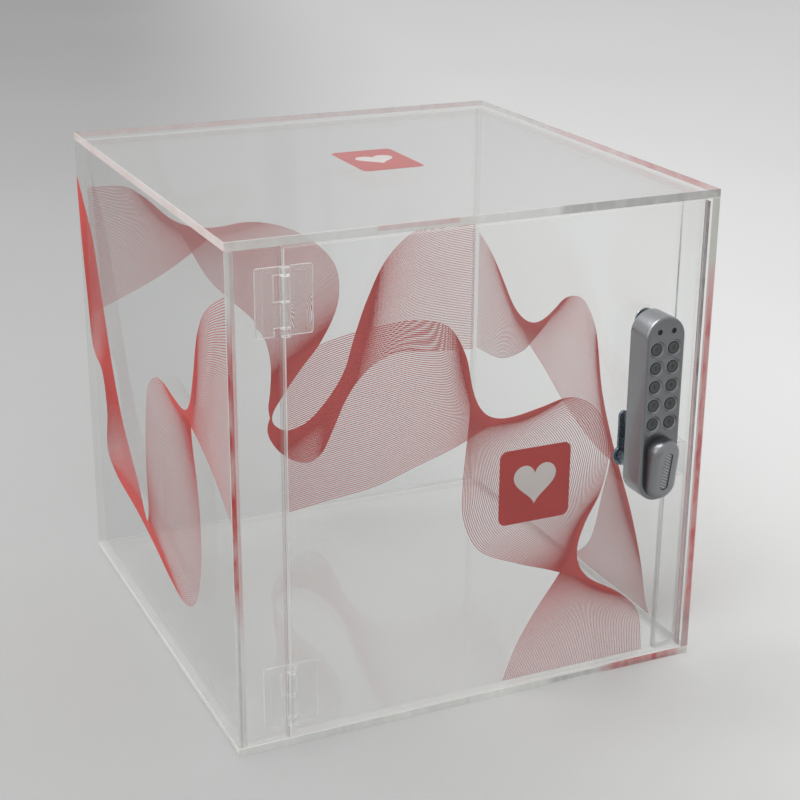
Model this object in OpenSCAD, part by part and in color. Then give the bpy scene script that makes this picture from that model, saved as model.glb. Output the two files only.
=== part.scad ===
// Clear acrylic donation box: a glued cube cabinet with an inset side-hung door,
// two clear leaf hinges and a battery keypad cam lock.
// Origin at the centre of the underside, +Z up, the door faces -Y. Millimetres.

/* [Cabinet] */
// Width of the cabinet, left to right
box_w = 360; // [300:1:450]
// Depth of the cabinet, front to back
box_d = 360; // [300:1:450]
// Height of the cabinet
box_h = 360; // [300:1:450]
// Thickness of the clear sheet
sheet_t = 6; // [4:0.5:8]

/* [Door] */
// Width of the fixed front strip that carries the hinges
strip_w = 31; // [27:0.2:60]
// Gap all round the door
door_gap = 1.8; // [1:0.1:2.5]
// Width of the stop strip behind the door's free edge
stop_w = 20; // [14:0.5:26]
// Gap between the closed door and the stop strip
stop_gap = 0.4; // [0.3:0.1:1]
// Thickness of the strike pad that the cam turns behind
pad_t = 12; // [5:0.5:15]
// Height of the strike pad
pad_h = 26.5; // [18:0.5:50]
// How far the pad's middle sits below the spindle
pad_drop = 4.5; // [0:0.5:6]

/* [Hinges] */
// Height of a hinge
hinge_h = 45; // [38:1:60]
// Reach of one leaf from the hinge pin
leaf_w = 19.2; // [16:0.2:26]
// Thickness of a leaf
leaf_t = 2.4; // [1.8:0.1:3]
// Outer diameter of the knuckles
knuckle_d = 6.6; // [5.6:0.2:8]
// Height of the two short end knuckles
end_knuckle_h = 5.4; // [4:0.2:8]
// Diameter of a hinge pin
pin_d = 2.4; // [1.6:0.1:3]
// Distance from the cabinet's top or underside to a hinge's middle
hinge_inset = 41; // [36:1:80]

/* [Lock] */
// Width of the lock case
lock_w = 30.8; // [29.6:0.2:36]
// Height of the lock case
lock_h = 136; // [132:0.2:165]
// How far the case's lower round end is centred below the spindle
case_drop = 1.5; // [0:0.1:3]
// Depth of the lock case, gasket included
lock_d = 22; // [20.2:0.2:25]
// Wall of the lock case
case_wall = 1.8; // [1.4:0.1:2]
// Distance from the cabinet's right side to the spindle
lock_inset = 51.6; // [48:0.2:75]
// Height of the spindle above the underside
spindle_z = 161.3; // [80:0.1:200]
// Diameter of the spindle
spindle_d = 7; // [6:0.1:8]
// Outer diameter of the threaded barrel
barrel_d = 11; // [9.6:0.2:13]
// Reach of the cam behind the stop strip
cam_bite = 9; // [5:0.5:14]
// Width of the cam
cam_w = 8; // [7:0.5:12]

/* [Keypad and knob] */
// Diameter of a button's cap
button_d = 8.6; // [7:0.1:9]
// Diameter of the dish round a button
dish_d = 12.4; // [10:0.2:12.6]
// Sideways spacing of the buttons
button_dx = 13.6; // [12.8:0.1:14.2]
// Upward spacing of the buttons
button_dz = 13.7; // [13:0.1:15]
// Travel of a button
button_travel = 1.2; // [0.6:0.1:1.4]
// Width of the knob
knob_w = 26; // [20:0.2:28]
// Reach of the knob below the spindle
knob_low = 15.7; // [12:0.1:16.5]
// Reach of the knob above the spindle
knob_up = 33.6; // [28:0.2:35]
// How far the knob stands out in front of the spindle
knob_t = 8.3; // [7.8:0.1:12]
// Slant of the knob's front, which stands out further at the top
knob_tilt = 10; // [0:0.5:12]

/* [Hidden] */
$fn = 96;

acrylic = [0.86, 0.93, 0.95, 0.35];
satin = [0.55, 0.57, 0.6];
dark = [0.22, 0.23, 0.25];

// Cabinet
front = -box_d / 2;
back = box_d / 2;
side = box_w / 2;
inner_side = side - sheet_t;
inner_back = back - sheet_t;
inner_top = box_h - sheet_t;
inner_h = box_h - 2 * sheet_t;
seam_x = -inner_side + strip_w + door_gap / 2;
door_x0 = seam_x + door_gap / 2;
door_x1 = inner_side - door_gap;
stop_y = sheet_t + stop_gap;

// Hinges
knuckle_r = knuckle_d / 2;
knuckle_lift = 0.3;
knuckle_slack = 0.3;
running = 0.07;
press = 0.01;
axis_y = -(knuckle_r + knuckle_lift);
fixed_notch = knuckle_r + 3.7;
door_notch = knuckle_r + 1.1;
leaf_corner = 1.2;
panel_recess = 0.7;
rim_out = 4.6;
rim_end = 3;
rim_in = 1.6;
long_knuckle_h = (hinge_h - 2 * end_knuckle_h) / 2;

// Lock, measured from the spindle on the door's front face
lock_x = side - lock_inset;
lock_low = lock_w / 2 + case_drop;
lock_up = lock_h - lock_low;
gasket_t = 0.6;
face_t = 2.4;
plate_t = 1.2;
inner_w = lock_w - 2 * case_wall;
face_in = -lock_d + face_t;
plate_y = -gasket_t - plate_t;
slip = 0.1;

// Keypad
row_top = lock_up - 22.8;
rows = 5;
dish_depth = 0.8;
cap_lift = 0.15;
button_slack = 0.2;
flange_d = 10.2;
flange_t = 0.8;
flange_back = face_in + slip + flange_t;
mat_t = 0.8;
mat_y = flange_back + button_travel + 0.1 + mat_t;
board_t = 1.6;
board_y = mat_y + board_t;
board_up = lock_up - 5.4;
window_dx = 11.2;
window_d = 3.4;
window_z = lock_up - 10.2;

// Latch round the spindle
collar_d = 17;
collar_l = 4;
collar_y = face_in + 6.6;
notch_w = 3.6;
notch_depth = 2.6;
plunger_d = 3;
plunger_gap = 0.3;
plunger_travel = 2;
plunger_l = 13;
solenoid = [12, 9, 13];
solenoid_z = collar_d / 2 + plunger_gap + 2.6;
solenoid_top = solenoid_z + solenoid[2];
board_low = solenoid_top + 3;

// Power
cell_d = 10.5;
cell_l = 44.5;
cell_dx = 10.9;
tray_t = 0.5;
tray_end = 1.2;
contact_t = 0.4;
cell_z = solenoid_top + 6;
cell_y = board_y + tray_t + 0.05 + cell_d / 2;

// Fixings and the parts behind the door
boss_d = 6.4;
screw_d = 3.8;
screw_z = lock_up - 9.2;
screw_hole_d = 4.6;
lug_w = 4.6;
lug_l = 6;
lug_inset = case_wall + lug_w / 2;
lug_screw_d = 2;
lug_head_d = 3.6;
lug_head_t = 0.8;
washer_d = 16;
washer_t = 1.2;
head_d = 8;
head_t = 2.8;
pad_back = stop_y + sheet_t + pad_t;
cam_clear = 0.4;
cam_t = 2.5;
cam_y = pad_back + cam_clear;
cam_hub_d = 15;
cam_reach = lock_inset - sheet_t - stop_w + cam_bite;
drive = 5;
drive_slack = 0.05;
barrel_flange_d = 14;
barrel_flange_t = 1.5;
nut_across = 16;
nut_t = 4;
hub_d = 9.6;
knob_back = -lock_d - 0.4;
knob_front = knob_back - knob_t;
insert_w = 9.6;
insert_h = 33.4;
insert_t = 1;
insert_depth = 0.6;
insert_z = (knob_up - knob_low) / 2 / cos(knob_tilt);

// Extrudes an outline drawn in X and Z, from y = rear - thick to y = rear
module slab(rear, thick) {
    translate([0, rear, 0]) rotate([90, 0, 0]) linear_extrude(thick) children();
}

// A rod along Y from y0 to y1
module rod(d, y0, y1) {
    translate([0, y1, 0]) rotate([90, 0, 0]) cylinder(d = d, h = y1 - y0);
}

// An upright outline with round ends that reaches low and up from the origin
module pill(w, low, up) {
    translate([0, w / 2 - low]) circle(d = w);
    translate([0, up - w / 2]) circle(d = w);
    translate([-w / 2, w / 2 - low]) square([w, low + up - w]);
}

module at_lock() {
    translate([lock_x, front, spindle_z]) children();
}

// The inside outline of the lock case, shrunk by a gap
module case_inside(gap) {
    pill(inner_w - 2 * gap, lock_low - case_wall - gap, lock_up - case_wall - gap);
}

// Cabinet panels
module top_panel() color(acrylic) translate([-side, front, inner_top]) cube([box_w, box_d, sheet_t]);

module bottom_panel() color(acrylic) translate([-side, front, 0]) cube([box_w, box_d, sheet_t]);

module side_panel(x) color(acrylic) translate([x, front, sheet_t]) cube([sheet_t, box_d, inner_h]);

module left_panel() side_panel(-side);

module right_panel() side_panel(inner_side);

module back_panel() color(acrylic) translate([-inner_side, inner_back, sheet_t])
    cube([2 * inner_side, sheet_t, inner_h]);

module hinge_strip() color(acrylic) translate([-inner_side, front, sheet_t])
    cube([strip_w, sheet_t, inner_h]);

module stop_strip() color(acrylic) translate([inner_side - stop_w, front + stop_y, sheet_t])
    cube([stop_w, sheet_t, inner_h]);

module strike_pad() color(acrylic)
    translate([inner_side - stop_w, front + stop_y + sheet_t, spindle_z - pad_drop - pad_h / 2])
    cube([stop_w, pad_t, pad_h]);

module door_panel() color(acrylic) difference() {
    translate([door_x0, front, sheet_t + door_gap])
        cube([door_x1 - door_x0, sheet_t, inner_h - 2 * door_gap]);
    at_lock() {
        rod(barrel_d + 2 * button_slack, -1, sheet_t + 1);
        translate([0, 0, screw_z]) rod(screw_hole_d, -1, sheet_t + 1);
    }
}

// Hinges. Each knuckle is [lowest z, height, on the door leaf], from the hinge's bottom end.
function knuckles() = [
    [0, end_knuckle_h, true],
    [end_knuckle_h, long_knuckle_h, false],
    [end_knuckle_h + long_knuckle_h, long_knuckle_h, true],
    [end_knuckle_h + 2 * long_knuckle_h, end_knuckle_h, false]];

module at_hinge(upper) {
    z = upper ? box_h - hinge_inset : hinge_inset;
    translate([seam_x, front, z - hinge_h / 2]) children();
}

// A leaf drawn to the right of the pin, with its flat back on y = 0
module leaf_plate(notch) {
    difference() {
        slab(0, leaf_t) difference() {
            translate([notch, 0]) square([leaf_w - notch, hinge_h]);
            for (z = [0, hinge_h]) translate([leaf_w, z])
                rotate(45) square(leaf_corner * sqrt(2), center = true);
        }
        slab(-leaf_t + panel_recess, leaf_t)
            translate([notch + rim_in, rim_end])
            square([leaf_w - notch - rim_in - rim_out, hinge_h - 2 * rim_end]);
    }
}

module knuckle(k, bore_d) {
    low = k[0] == 0 ? 0 : knuckle_slack / 2;
    high = k[0] + k[1] > hinge_h - 0.01 ? 0 : knuckle_slack / 2;
    h = k[1] - low - high;
    translate([0, 0, k[0] + low]) difference() {
        union() {
            translate([0, axis_y, 0]) cylinder(d = knuckle_d, h = h);
            translate([0, -leaf_t, 0]) cube([knuckle_r + 4, leaf_t, h]);
        }
        translate([0, axis_y, -1]) cylinder(d = bore_d, h = h + 2);
    }
}

module hinge_leaf(upper, moving) color(acrylic) at_hinge(upper) mirror([moving ? 0 : 1, 0, 0]) {
    bore_d = pin_d + 2 * (moving ? running : press);
    union() {
        leaf_plate(moving ? door_notch : fixed_notch);
        for (k = knuckles()) if (k[2] == moving) knuckle(k, bore_d);
    }
}

module hinge_pin(upper) color("silver") at_hinge(upper)
    translate([0, axis_y, 0.5]) cylinder(d = pin_d, h = hinge_h - 1);

module upper_hinge_fixed_leaf() hinge_leaf(true, false);

module upper_hinge_door_leaf() hinge_leaf(true, true);

module upper_hinge_pin() hinge_pin(true);

module lower_hinge_fixed_leaf() hinge_leaf(false, false);

module lower_hinge_door_leaf() hinge_leaf(false, true);

module lower_hinge_pin() hinge_pin(false);

// Keypad. Buttons count 1 and 2 in the top row down to 9 and 0 in the bottom row.
function button_x(i) = (i % 2 - 0.5) * button_dx;
function button_z(i) = row_top - floor(i / 2) * button_dz;

module at_button(i) {
    translate([button_x(i), 0, button_z(i)]) children();
}

module button(i) color(dark) at_lock() at_button(i) union() {
    rod(button_d, -lock_d + dish_depth - cap_lift, face_in + slip + 0.01);
    rod(flange_d, face_in + slip, flange_back);
}

module button_1() button(0);

module button_2() button(1);

module button_3() button(2);

module button_4() button(3);

module button_5() button(4);

module button_6() button(5);

module button_7() button(6);

module button_8() button(7);

module button_9() button(8);

module button_0() button(9);

module each_window() {
    for (s = [-1, 1]) translate([s * window_dx / 2, 0, window_z]) children();
}

// Lock case and what it holds
module lock_case() color(satin) at_lock() difference() {
    union() {
        difference() {
            slab(-gasket_t, lock_d - gasket_t) pill(lock_w, lock_low, lock_up);
            slab(1, 1 - face_in) case_inside(0);
        }
        translate([0, 0, screw_z]) rod(boss_d, face_in - 0.01, plate_y);
        slab(plate_y, lug_l) intersection() {
            case_inside(-0.01);
            union() {
                translate([-lug_w / 2, -lock_low]) square([lug_w, lug_inset + lug_w / 2]);
                translate([-lug_w / 2, lock_up - lug_inset - lug_w / 2]) square([lug_w, lug_inset + lug_w / 2]);
            }
        }
    }
    each_lug() rod(lug_screw_d + 2 * press, plate_y - lug_l + 0.5, 0);
    for (i = [0 : 2 * rows - 1]) at_button(i) {
        rod(dish_d, -lock_d - 1, -lock_d + dish_depth);
        rod(button_d + 2 * button_slack, -lock_d - 1, face_in + 1);
    }
    each_window() rod(window_d + 2 * slip, -lock_d - 1, face_in + 1);
    rod(hub_d + 2 * button_slack, -lock_d - 1, face_in + 1);
    translate([0, 0, screw_z]) rod(screw_d + 2 * press, face_in + 2, 1);
}

module lock_gasket() color("black") at_lock() slab(0, gasket_t) difference() {
    pill(lock_w - 1, lock_low - 0.5, lock_up - 0.5);
    circle(d = barrel_d + 2 * button_slack);
    translate([0, screw_z]) circle(d = screw_hole_d);
}

// The two end lugs of the case take the back plate's screws
module each_lug() {
    for (z = [lug_inset - lock_low, lock_up - lug_inset]) translate([0, 0, z]) children();
}

module lock_back_plate() color("silver") at_lock() difference() {
    slab(-gasket_t, plate_t) case_inside(slip);
    rod(barrel_d + 2 * press, plate_y - 1, 0);
    translate([0, 0, screw_z]) rod(screw_hole_d, plate_y - 1, 0);
    each_lug() {
        rod(lug_screw_d + 2 * slip, plate_y - 1, 0);
        rod(lug_head_d + 2 * slip, -gasket_t - lug_head_t - slip, 0);
    }
}

module back_plate_screws() color("silver") at_lock() each_lug() union() {
    rod(lug_screw_d, plate_y - lug_l + 1, -gasket_t);
    rod(lug_head_d, -gasket_t - lug_head_t, -gasket_t);
}

module keypad_mat() color("dimgray") at_lock() slab(mat_y, mat_t) difference() {
    intersection() {
        case_inside(slip);
        translate([-inner_w / 2, board_low]) square([inner_w, board_up - board_low]);
    }
    translate([0, screw_z]) circle(d = boss_d + 2 * slip);
    for (s = [-1, 1]) translate([s * window_dx / 2, window_z]) circle(d = window_d + 2 * slip);
}

module circuit_board() color("darkgreen") at_lock() slab(board_y, board_t) difference() {
    intersection() {
        case_inside(slip);
        translate([-inner_w / 2, board_low]) square([inner_w, board_up - board_low]);
    }
    translate([0, screw_z]) circle(d = boss_d + 2 * slip);
}

module light_windows() color("black") at_lock() each_window()
    rod(window_d, -lock_d + 0.5, board_y - board_t);

module battery_tray() color("black") at_lock() {
    w = inner_w - 2 * slip;
    h = cell_l + 2 * contact_t + 2 * slip + 2 * tray_end;
    z0 = cell_z - contact_t - slip - tray_end;
    translate([-w / 2, board_y, z0]) difference() {
        cube([w, cell_d * 0.6, h]);
        translate([tray_end / 2, tray_t, tray_end]) cube([w - tray_end, cell_d, h - 2 * tray_end]);
    }
}

module each_cell() {
    for (s = [-1, 1]) translate([s * cell_dx / 2, cell_y, cell_z]) children();
}

module batteries() color("darkorange") at_lock() each_cell() union() {
    cylinder(d = cell_d, h = cell_l - 1);
    cylinder(d = 3.8, h = cell_l);
}

module battery_contacts() color("silver") at_lock() each_cell()
    for (z = [-contact_t - slip, cell_l + slip]) translate([-3.5, -4, z]) cube([7, 5, contact_t]);

module latch_solenoid() color("goldenrod") at_lock() difference() {
    translate([-solenoid[0] / 2, face_in + slip, solenoid_z]) cube(solenoid);
    translate([0, collar_y - collar_l / 2, solenoid_z - 1])
        cylinder(d = plunger_d + 2 * running, h = solenoid[2]);
}

module solenoid_plunger() color("silver") at_lock()
    translate([0, collar_y - collar_l / 2, collar_d / 2 + plunger_gap])
    cylinder(d = plunger_d, h = plunger_l);

module latch_collar() color("silver") at_lock() difference() {
    rod(collar_d, collar_y - collar_l, collar_y);
    rod(spindle_d + 2 * press, collar_y - collar_l - 1, collar_y + 1);
    for (a = [0, -90]) rotate([0, a, 0])
        translate([-notch_w / 2, collar_y - collar_l - 1, collar_d / 2 - notch_depth])
        cube([notch_w, collar_l + 2, notch_depth + 1]);
}

module lock_barrel() color("silver") at_lock() difference() {
    union() {
        rod(barrel_d, plate_y - barrel_flange_t, pad_back);
        rod(barrel_flange_d, plate_y - barrel_flange_t, plate_y);
    }
    rod(spindle_d + 2 * running, plate_y - barrel_flange_t - 1, pad_back + 1);
}

module barrel_nut() color("silver") at_lock() difference() {
    slab(sheet_t + nut_t, nut_t) circle(d = nut_across / cos(30), $fn = 6);
    rod(barrel_d + 2 * press, sheet_t - 1, sheet_t + nut_t + 1);
}

module fixing_washer() color("silver") at_lock() translate([0, 0, screw_z]) difference() {
    rod(washer_d, sheet_t, sheet_t + washer_t);
    rod(screw_hole_d, sheet_t - 1, sheet_t + washer_t + 1);
}

module fixing_screw() color("silver") at_lock() translate([0, 0, screw_z]) {
    seat = sheet_t + washer_t;
    difference() {
        union() {
            rod(screw_d, face_in + 4, seat + 0.01);
            rod(head_d, seat, seat + head_t);
        }
        translate([-head_d, seat + head_t - 1, -0.5]) cube([2 * head_d, 2, 1]);
    }
}

// Knob, spindle and cam. The knob's front leans by knob_tilt about the spindle.
module on_knob_front() {
    translate([0, knob_front, 0]) rotate([knob_tilt, 0, 0]) children();
}

// A slice of the knob, drawn in from its outline and stopping short of its front
module knob_slice(inset, short) {
    intersection() {
        slab(knob_back - inset / 4, 2 * knob_t)
            pill(knob_w - 2 * inset, knob_low - inset, knob_up - inset);
        on_knob_front() translate([-50, short, -50]) cube(100);
    }
}

module knob() color(satin) at_lock() difference() {
    union() {
        knob_slice(0, 3);
        knob_slice(1, 1.4);
        knob_slice(3, 0);
        rod(hub_d, knob_back - 0.01, face_in + 0.5);
    }
    rod(spindle_d + 2 * press, knob_back - 5, face_in + 2);
    on_knob_front() slab(insert_depth + insert_t, 3)
        pill(insert_w, insert_h / 2 - insert_z, insert_h / 2 + insert_z);
}

module knob_insert() color(dark) at_lock() on_knob_front()
    slab(insert_depth + insert_t, insert_t) {
        half = (insert_h - slip) / 2;
        pill(insert_w - slip, half - insert_z, half + insert_z);
    }

module spindle() color("silver") at_lock() difference() {
    union() {
        rod(spindle_d, knob_back - 4.9, cam_y - slip);
        translate([-drive / 2, cam_y - slip - 0.01, -drive / 2]) cube([drive, cam_t + slip, drive]);
    }
    rod(3 + 2 * press, cam_y - 8, cam_y + cam_t + 1);
}

module cam() color("silver") at_lock() difference() {
    slab(cam_y + cam_t, cam_t) union() {
        circle(d = cam_hub_d);
        translate([-cam_w / 2, 0]) square([cam_w, cam_reach - cam_w / 2]);
        translate([0, cam_reach - cam_w / 2]) circle(d = cam_w);
    }
    translate([-drive / 2 - drive_slack, cam_y - 1, -drive / 2 - drive_slack])
        cube([drive + 2 * drive_slack, cam_t + 2, drive + 2 * drive_slack]);
}

module cam_washer() color("silver") at_lock() difference() {
    rod(cam_hub_d - 3, cam_y + cam_t, cam_y + cam_t + 1);
    rod(3.4, cam_y, cam_y + cam_t + 2);
}

module cam_screw() color("silver") at_lock() {
    seat = cam_y + cam_t + 1;
    difference() {
        union() {
            rod(3, cam_y - 7, seat + 0.01);
            rod(head_d - 2, seat, seat + 2.4);
        }
        translate([-head_d, seat + 1.5, -0.4]) cube([2 * head_d, 2, 0.8]);
    }
}

top_panel();
bottom_panel();
left_panel();
right_panel();
back_panel();
hinge_strip();
stop_strip();
strike_pad();
door_panel();
upper_hinge_fixed_leaf();
upper_hinge_door_leaf();
upper_hinge_pin();
lower_hinge_fixed_leaf();
lower_hinge_door_leaf();
lower_hinge_pin();
lock_case();
lock_gasket();
lock_back_plate();
back_plate_screws();
keypad_mat();
circuit_board();
light_windows();
battery_tray();
batteries();
battery_contacts();
latch_solenoid();
solenoid_plunger();
lock_barrel();
barrel_nut();
fixing_screw();
fixing_washer();
knob();
knob_insert();
spindle();
latch_collar();
cam();
cam_washer();
cam_screw();
button_1();
button_2();
button_3();
button_4();
button_5();
button_6();
button_7();
button_8();
button_9();
button_0();
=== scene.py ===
"""Clear acrylic donation box: the looks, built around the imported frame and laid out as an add-on."""

import math

import bmesh
import bpy
from mathutils import Matrix, Vector


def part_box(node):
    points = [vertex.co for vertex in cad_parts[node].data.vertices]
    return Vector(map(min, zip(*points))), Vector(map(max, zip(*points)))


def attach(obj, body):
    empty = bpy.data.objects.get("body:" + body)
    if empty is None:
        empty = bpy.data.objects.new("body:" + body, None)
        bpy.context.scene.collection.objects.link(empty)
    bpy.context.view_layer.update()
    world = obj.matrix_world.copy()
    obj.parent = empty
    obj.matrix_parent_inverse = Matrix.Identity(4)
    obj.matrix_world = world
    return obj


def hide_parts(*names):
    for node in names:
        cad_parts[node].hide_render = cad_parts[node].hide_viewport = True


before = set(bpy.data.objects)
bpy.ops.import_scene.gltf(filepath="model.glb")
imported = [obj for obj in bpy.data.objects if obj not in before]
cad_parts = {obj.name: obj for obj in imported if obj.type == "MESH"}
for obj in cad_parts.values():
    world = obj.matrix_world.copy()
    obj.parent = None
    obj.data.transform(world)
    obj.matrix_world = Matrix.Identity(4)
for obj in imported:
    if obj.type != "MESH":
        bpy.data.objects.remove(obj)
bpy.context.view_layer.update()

MM = 0.001

bl_info = {
    "name": "Donation Box",
    "version": (1, 0, 0),
    "blender": (4, 5, 0),
    "location": "3D View > Sidebar > Donation Box",
    "description": "Builds a clear acrylic donation box with printed waves and a keypad lock",
    "category": "Object",
}

DIGITS = "1234567890"
UP = Vector((0, 0, 1))
# painted light: share of a white scattering layer on the bottom sheet, which brightens the floor seen through
# it
PAINTED_LIGHT_SHARE = 0.16
DOOR_EMBLEM_AT = (0.045, 0.1605)
TOP_EMBLEM_AT = (0.0103, 0.0214)
TOP_EMBLEM_SHAPE = (0.88, 1.20)


# ---------------------------------------------------------------- sizes and colours


class DonationBoxSheets(bpy.types.PropertyGroup):
    """Finish of the acrylic sheets, with the painted highlights, shade and reflections on their edges."""

    edge_bevel: bpy.props.FloatProperty(
        name="Edge bevel", description="Width of the flame polished corner of each sheet",
        default=0.0004, min=0.0001, max=0.001, unit="LENGTH")
    glue_line: bpy.props.FloatProperty(
        name="Glue line", description="Gap left on each sheet for the glue",
        default=0.00004, min=0, max=0.0002, unit="LENGTH")
    clear_tint: bpy.props.FloatVectorProperty(
        name="Clear tint", description="Share of light that passes one face of a sheet",
        default=(0.988, 0.990, 0.989), subtype="COLOR")
    # painted highlight: colour of a bright sheet edge
    edge_painted_highlight: bpy.props.FloatVectorProperty(
        name="Pale edge", description="Colour of a bright sheet edge",
        default=(0.80, 0.81, 0.78), subtype="COLOR")
    # painted shade: colour of a dull sheet edge
    edge_painted_shade: bpy.props.FloatVectorProperty(
        name="Grey edge", description="Colour of a dull sheet edge",
        default=(0.36, 0.36, 0.35), subtype="COLOR")
    edge_dark: bpy.props.FloatVectorProperty(
        name="Dark edge", description="Colour of an edge that mirrors the dark room",
        default=(0.13, 0.115, 0.12), subtype="COLOR")
    # painted reflection: a dull edge that mirrors some of the print
    edge_painted_mauve_reflection: bpy.props.FloatVectorProperty(
        name="Mauve edge", description="Colour of a dull edge with some print in it",
        default=(0.40, 0.33, 0.345), subtype="COLOR")
    # painted reflection: an edge that mirrors some of the print inside the sheet
    edge_painted_pink_reflection: bpy.props.FloatVectorProperty(
        name="Pink edge", description="Colour of an edge that shows some print inside the sheet",
        default=(0.66, 0.36, 0.36), subtype="COLOR")
    # painted reflection: an edge that mirrors the print inside the sheet
    edge_painted_red_reflection: bpy.props.FloatVectorProperty(
        name="Red edge", description="Colour of an edge that shows the print inside the sheet",
        default=(0.50, 0.055, 0.055), subtype="COLOR")


class DonationBoxPrint(bpy.types.PropertyGroup):
    """Fine-line waves and emblems."""

    line_count: bpy.props.IntProperty(
        name="Lines", description="Lines in each wave", default=78, min=10, max=120)
    line_width: bpy.props.FloatProperty(
        name="Line width", description="Width of one printed line",
        default=0.0005, min=0.0001, max=0.002, unit="LENGTH")
    ink_height: bpy.props.FloatProperty(
        name="Ink height", description="Thickness of the ink film",
        default=0.00006, min=0.00002, max=0.0002, unit="LENGTH")
    red: bpy.props.FloatVectorProperty(
        name="Red ink", description="Colour of the waves", default=(0.54, 0.050, 0.043), subtype="COLOR")
    solid_red: bpy.props.FloatVectorProperty(
        name="Solid red", description="Colour of the emblems", default=(0.43, 0.026, 0.022), subtype="COLOR")
    white: bpy.props.FloatVectorProperty(
        name="White ink", description="Colour of the heart in an emblem",
        default=(0.62, 0.57, 0.55), subtype="COLOR")
    emblem: bpy.props.FloatProperty(
        name="Emblem", description="Side of a square emblem", default=0.056, min=0.02, max=0.1, unit="LENGTH")


class DonationBoxLock(bpy.types.PropertyGroup):
    """Keypad lock."""

    case_round: bpy.props.FloatProperty(
        name="Case rounding", description="Radius round the front of the case",
        default=0.0022, min=0.0005, max=0.003, unit="LENGTH")
    knob_stand: bpy.props.FloatProperty(
        name="Knob stand-out", description="How far the knob stands out in front of its spindle",
        default=0.0083, min=0.006, max=0.012, unit="LENGTH")
    knob_slant: bpy.props.FloatProperty(
        name="Knob slant", description="Slant of the knob's front, which stands out further at the top",
        default=math.radians(10), min=0, max=math.radians(12), subtype="ANGLE")
    knob_round: bpy.props.FloatProperty(
        name="Knob rounding", description="Radius round the front of the knob",
        default=0.0055, min=0.002, max=0.007, unit="LENGTH")
    metal: bpy.props.FloatVectorProperty(
        name="Satin metal", description="Colour of the case and knob",
        default=(0.215, 0.222, 0.232), subtype="COLOR")
    cap: bpy.props.FloatVectorProperty(
        name="Button cap", description="Colour of the button caps",
        default=(0.062, 0.065, 0.067), subtype="COLOR")
    steel: bpy.props.FloatVectorProperty(
        name="Bright steel", description="Colour of the plated fittings",
        default=(0.62, 0.65, 0.69), subtype="COLOR")


class DonationBoxStage(bpy.types.PropertyGroup):
    """Floor, lamps and camera."""

    lens: bpy.props.FloatProperty(
        name="Lens", description="Focal length of the camera, in millimetres", default=75.86)
    eye: bpy.props.FloatVectorProperty(
        name="Eye", description="Place of the camera", default=(-0.49392, -1.12068, 0.62712),
        subtype="TRANSLATION", unit="LENGTH")
    azimuth: bpy.props.FloatProperty(
        name="Azimuth", description="Heading of the camera from the front", default=math.radians(24.67),
        subtype="ANGLE")
    elevation: bpy.props.FloatProperty(
        name="Elevation", description="How far the camera looks down", default=math.radians(20.45),
        subtype="ANGLE")
    roll: bpy.props.FloatProperty(
        name="Roll", description="Tilt of the camera", default=math.radians(0.40), subtype="ANGLE")
    floor: bpy.props.FloatVectorProperty(
        name="Floor", description="Colour of the floor", default=(0.60, 0.605, 0.602), subtype="COLOR")
    sky: bpy.props.FloatProperty(name="Sky", description="Strength of the even light", default=0.74)
    key: bpy.props.FloatProperty(name="Key lamp", description="Power of the soft top lamp", default=30.0)


class DonationBoxSettings(bpy.types.PropertyGroup):
    """All the settings of the donation box."""

    sheets: bpy.props.PointerProperty(type=DonationBoxSheets)
    inks: bpy.props.PointerProperty(type=DonationBoxPrint)
    lock: bpy.props.PointerProperty(type=DonationBoxLock)
    stage: bpy.props.PointerProperty(type=DonationBoxStage)


def settings():
    return bpy.context.scene.donation_box


# ---------------------------------------------------------------- materials


def add_node(tree, kind, inputs=None, **choices):
    """Adds a node, sets its choices, and sets or links its inputs."""
    made = tree.nodes.new(kind)
    for key, value in choices.items():
        setattr(made, key, value)
    for key, value in (inputs or {}).items():
        if isinstance(value, bpy.types.NodeSocket):
            tree.links.new(value, made.inputs[key])
        else:
            made.inputs[key].default_value = value
    return made


def new_material(name):
    made = bpy.data.materials.new(name)
    made.use_nodes = True
    made.node_tree.nodes.clear()
    return made


def finish_material(made, surface):
    tree = made.node_tree
    add_node(tree, "ShaderNodeOutputMaterial", {"Surface": surface})
    return made


def object_place(tree, scale=(1, 1, 1), turn=(0, 0, 0)):
    """Object coordinates, scaled and turned for a pattern."""
    place = add_node(tree, "ShaderNodeTexCoord").outputs["Object"]
    return add_node(tree, "ShaderNodeMapping",
                    {"Vector": place, "Scale": scale, "Rotation": turn}).outputs["Vector"]


def noise(tree, scale, detail=3.0, stretch=(1, 1, 1), turn=(0, 0, 0)):
    vector = object_place(tree, stretch, turn)
    return add_node(tree, "ShaderNodeTexNoise",
                    {"Vector": vector, "Scale": scale, "Detail": detail}).outputs["Fac"]


def ramp(tree, value, low, high, to_low=0.0, to_high=1.0, smooth=False):
    return add_node(tree, "ShaderNodeMapRange",
                    {"Value": value, "From Min": low, "From Max": high,
                     "To Min": to_low, "To Max": to_high},
                    interpolation_type="SMOOTHSTEP" if smooth else "LINEAR").outputs["Result"]


def maths(tree, operation, first, second=0.0):
    return add_node(tree, "ShaderNodeMath", {0: first, 1: second}, operation=operation).outputs["Value"]


def blend_colours(tree, share, first, second):
    """A colour between first and second; each is a colour or a socket."""
    mix = add_node(tree, "ShaderNodeMix", data_type="RGBA")
    for key, value in ((0, share), (6, first), (7, second)):
        if isinstance(value, bpy.types.NodeSocket):
            tree.links.new(value, mix.inputs[key])
        else:
            mix.inputs[key].default_value = value if key == 0 else (*value, 1)
    return mix.outputs[2]


def bump(tree, height, distance, strength=0.5):
    return add_node(tree, "ShaderNodeBump",
                    {"Height": height, "Distance": distance, "Strength": strength}).outputs["Normal"]


def shade(colour, amount):
    return tuple(min(1.0, c * amount) for c in colour)


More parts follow.
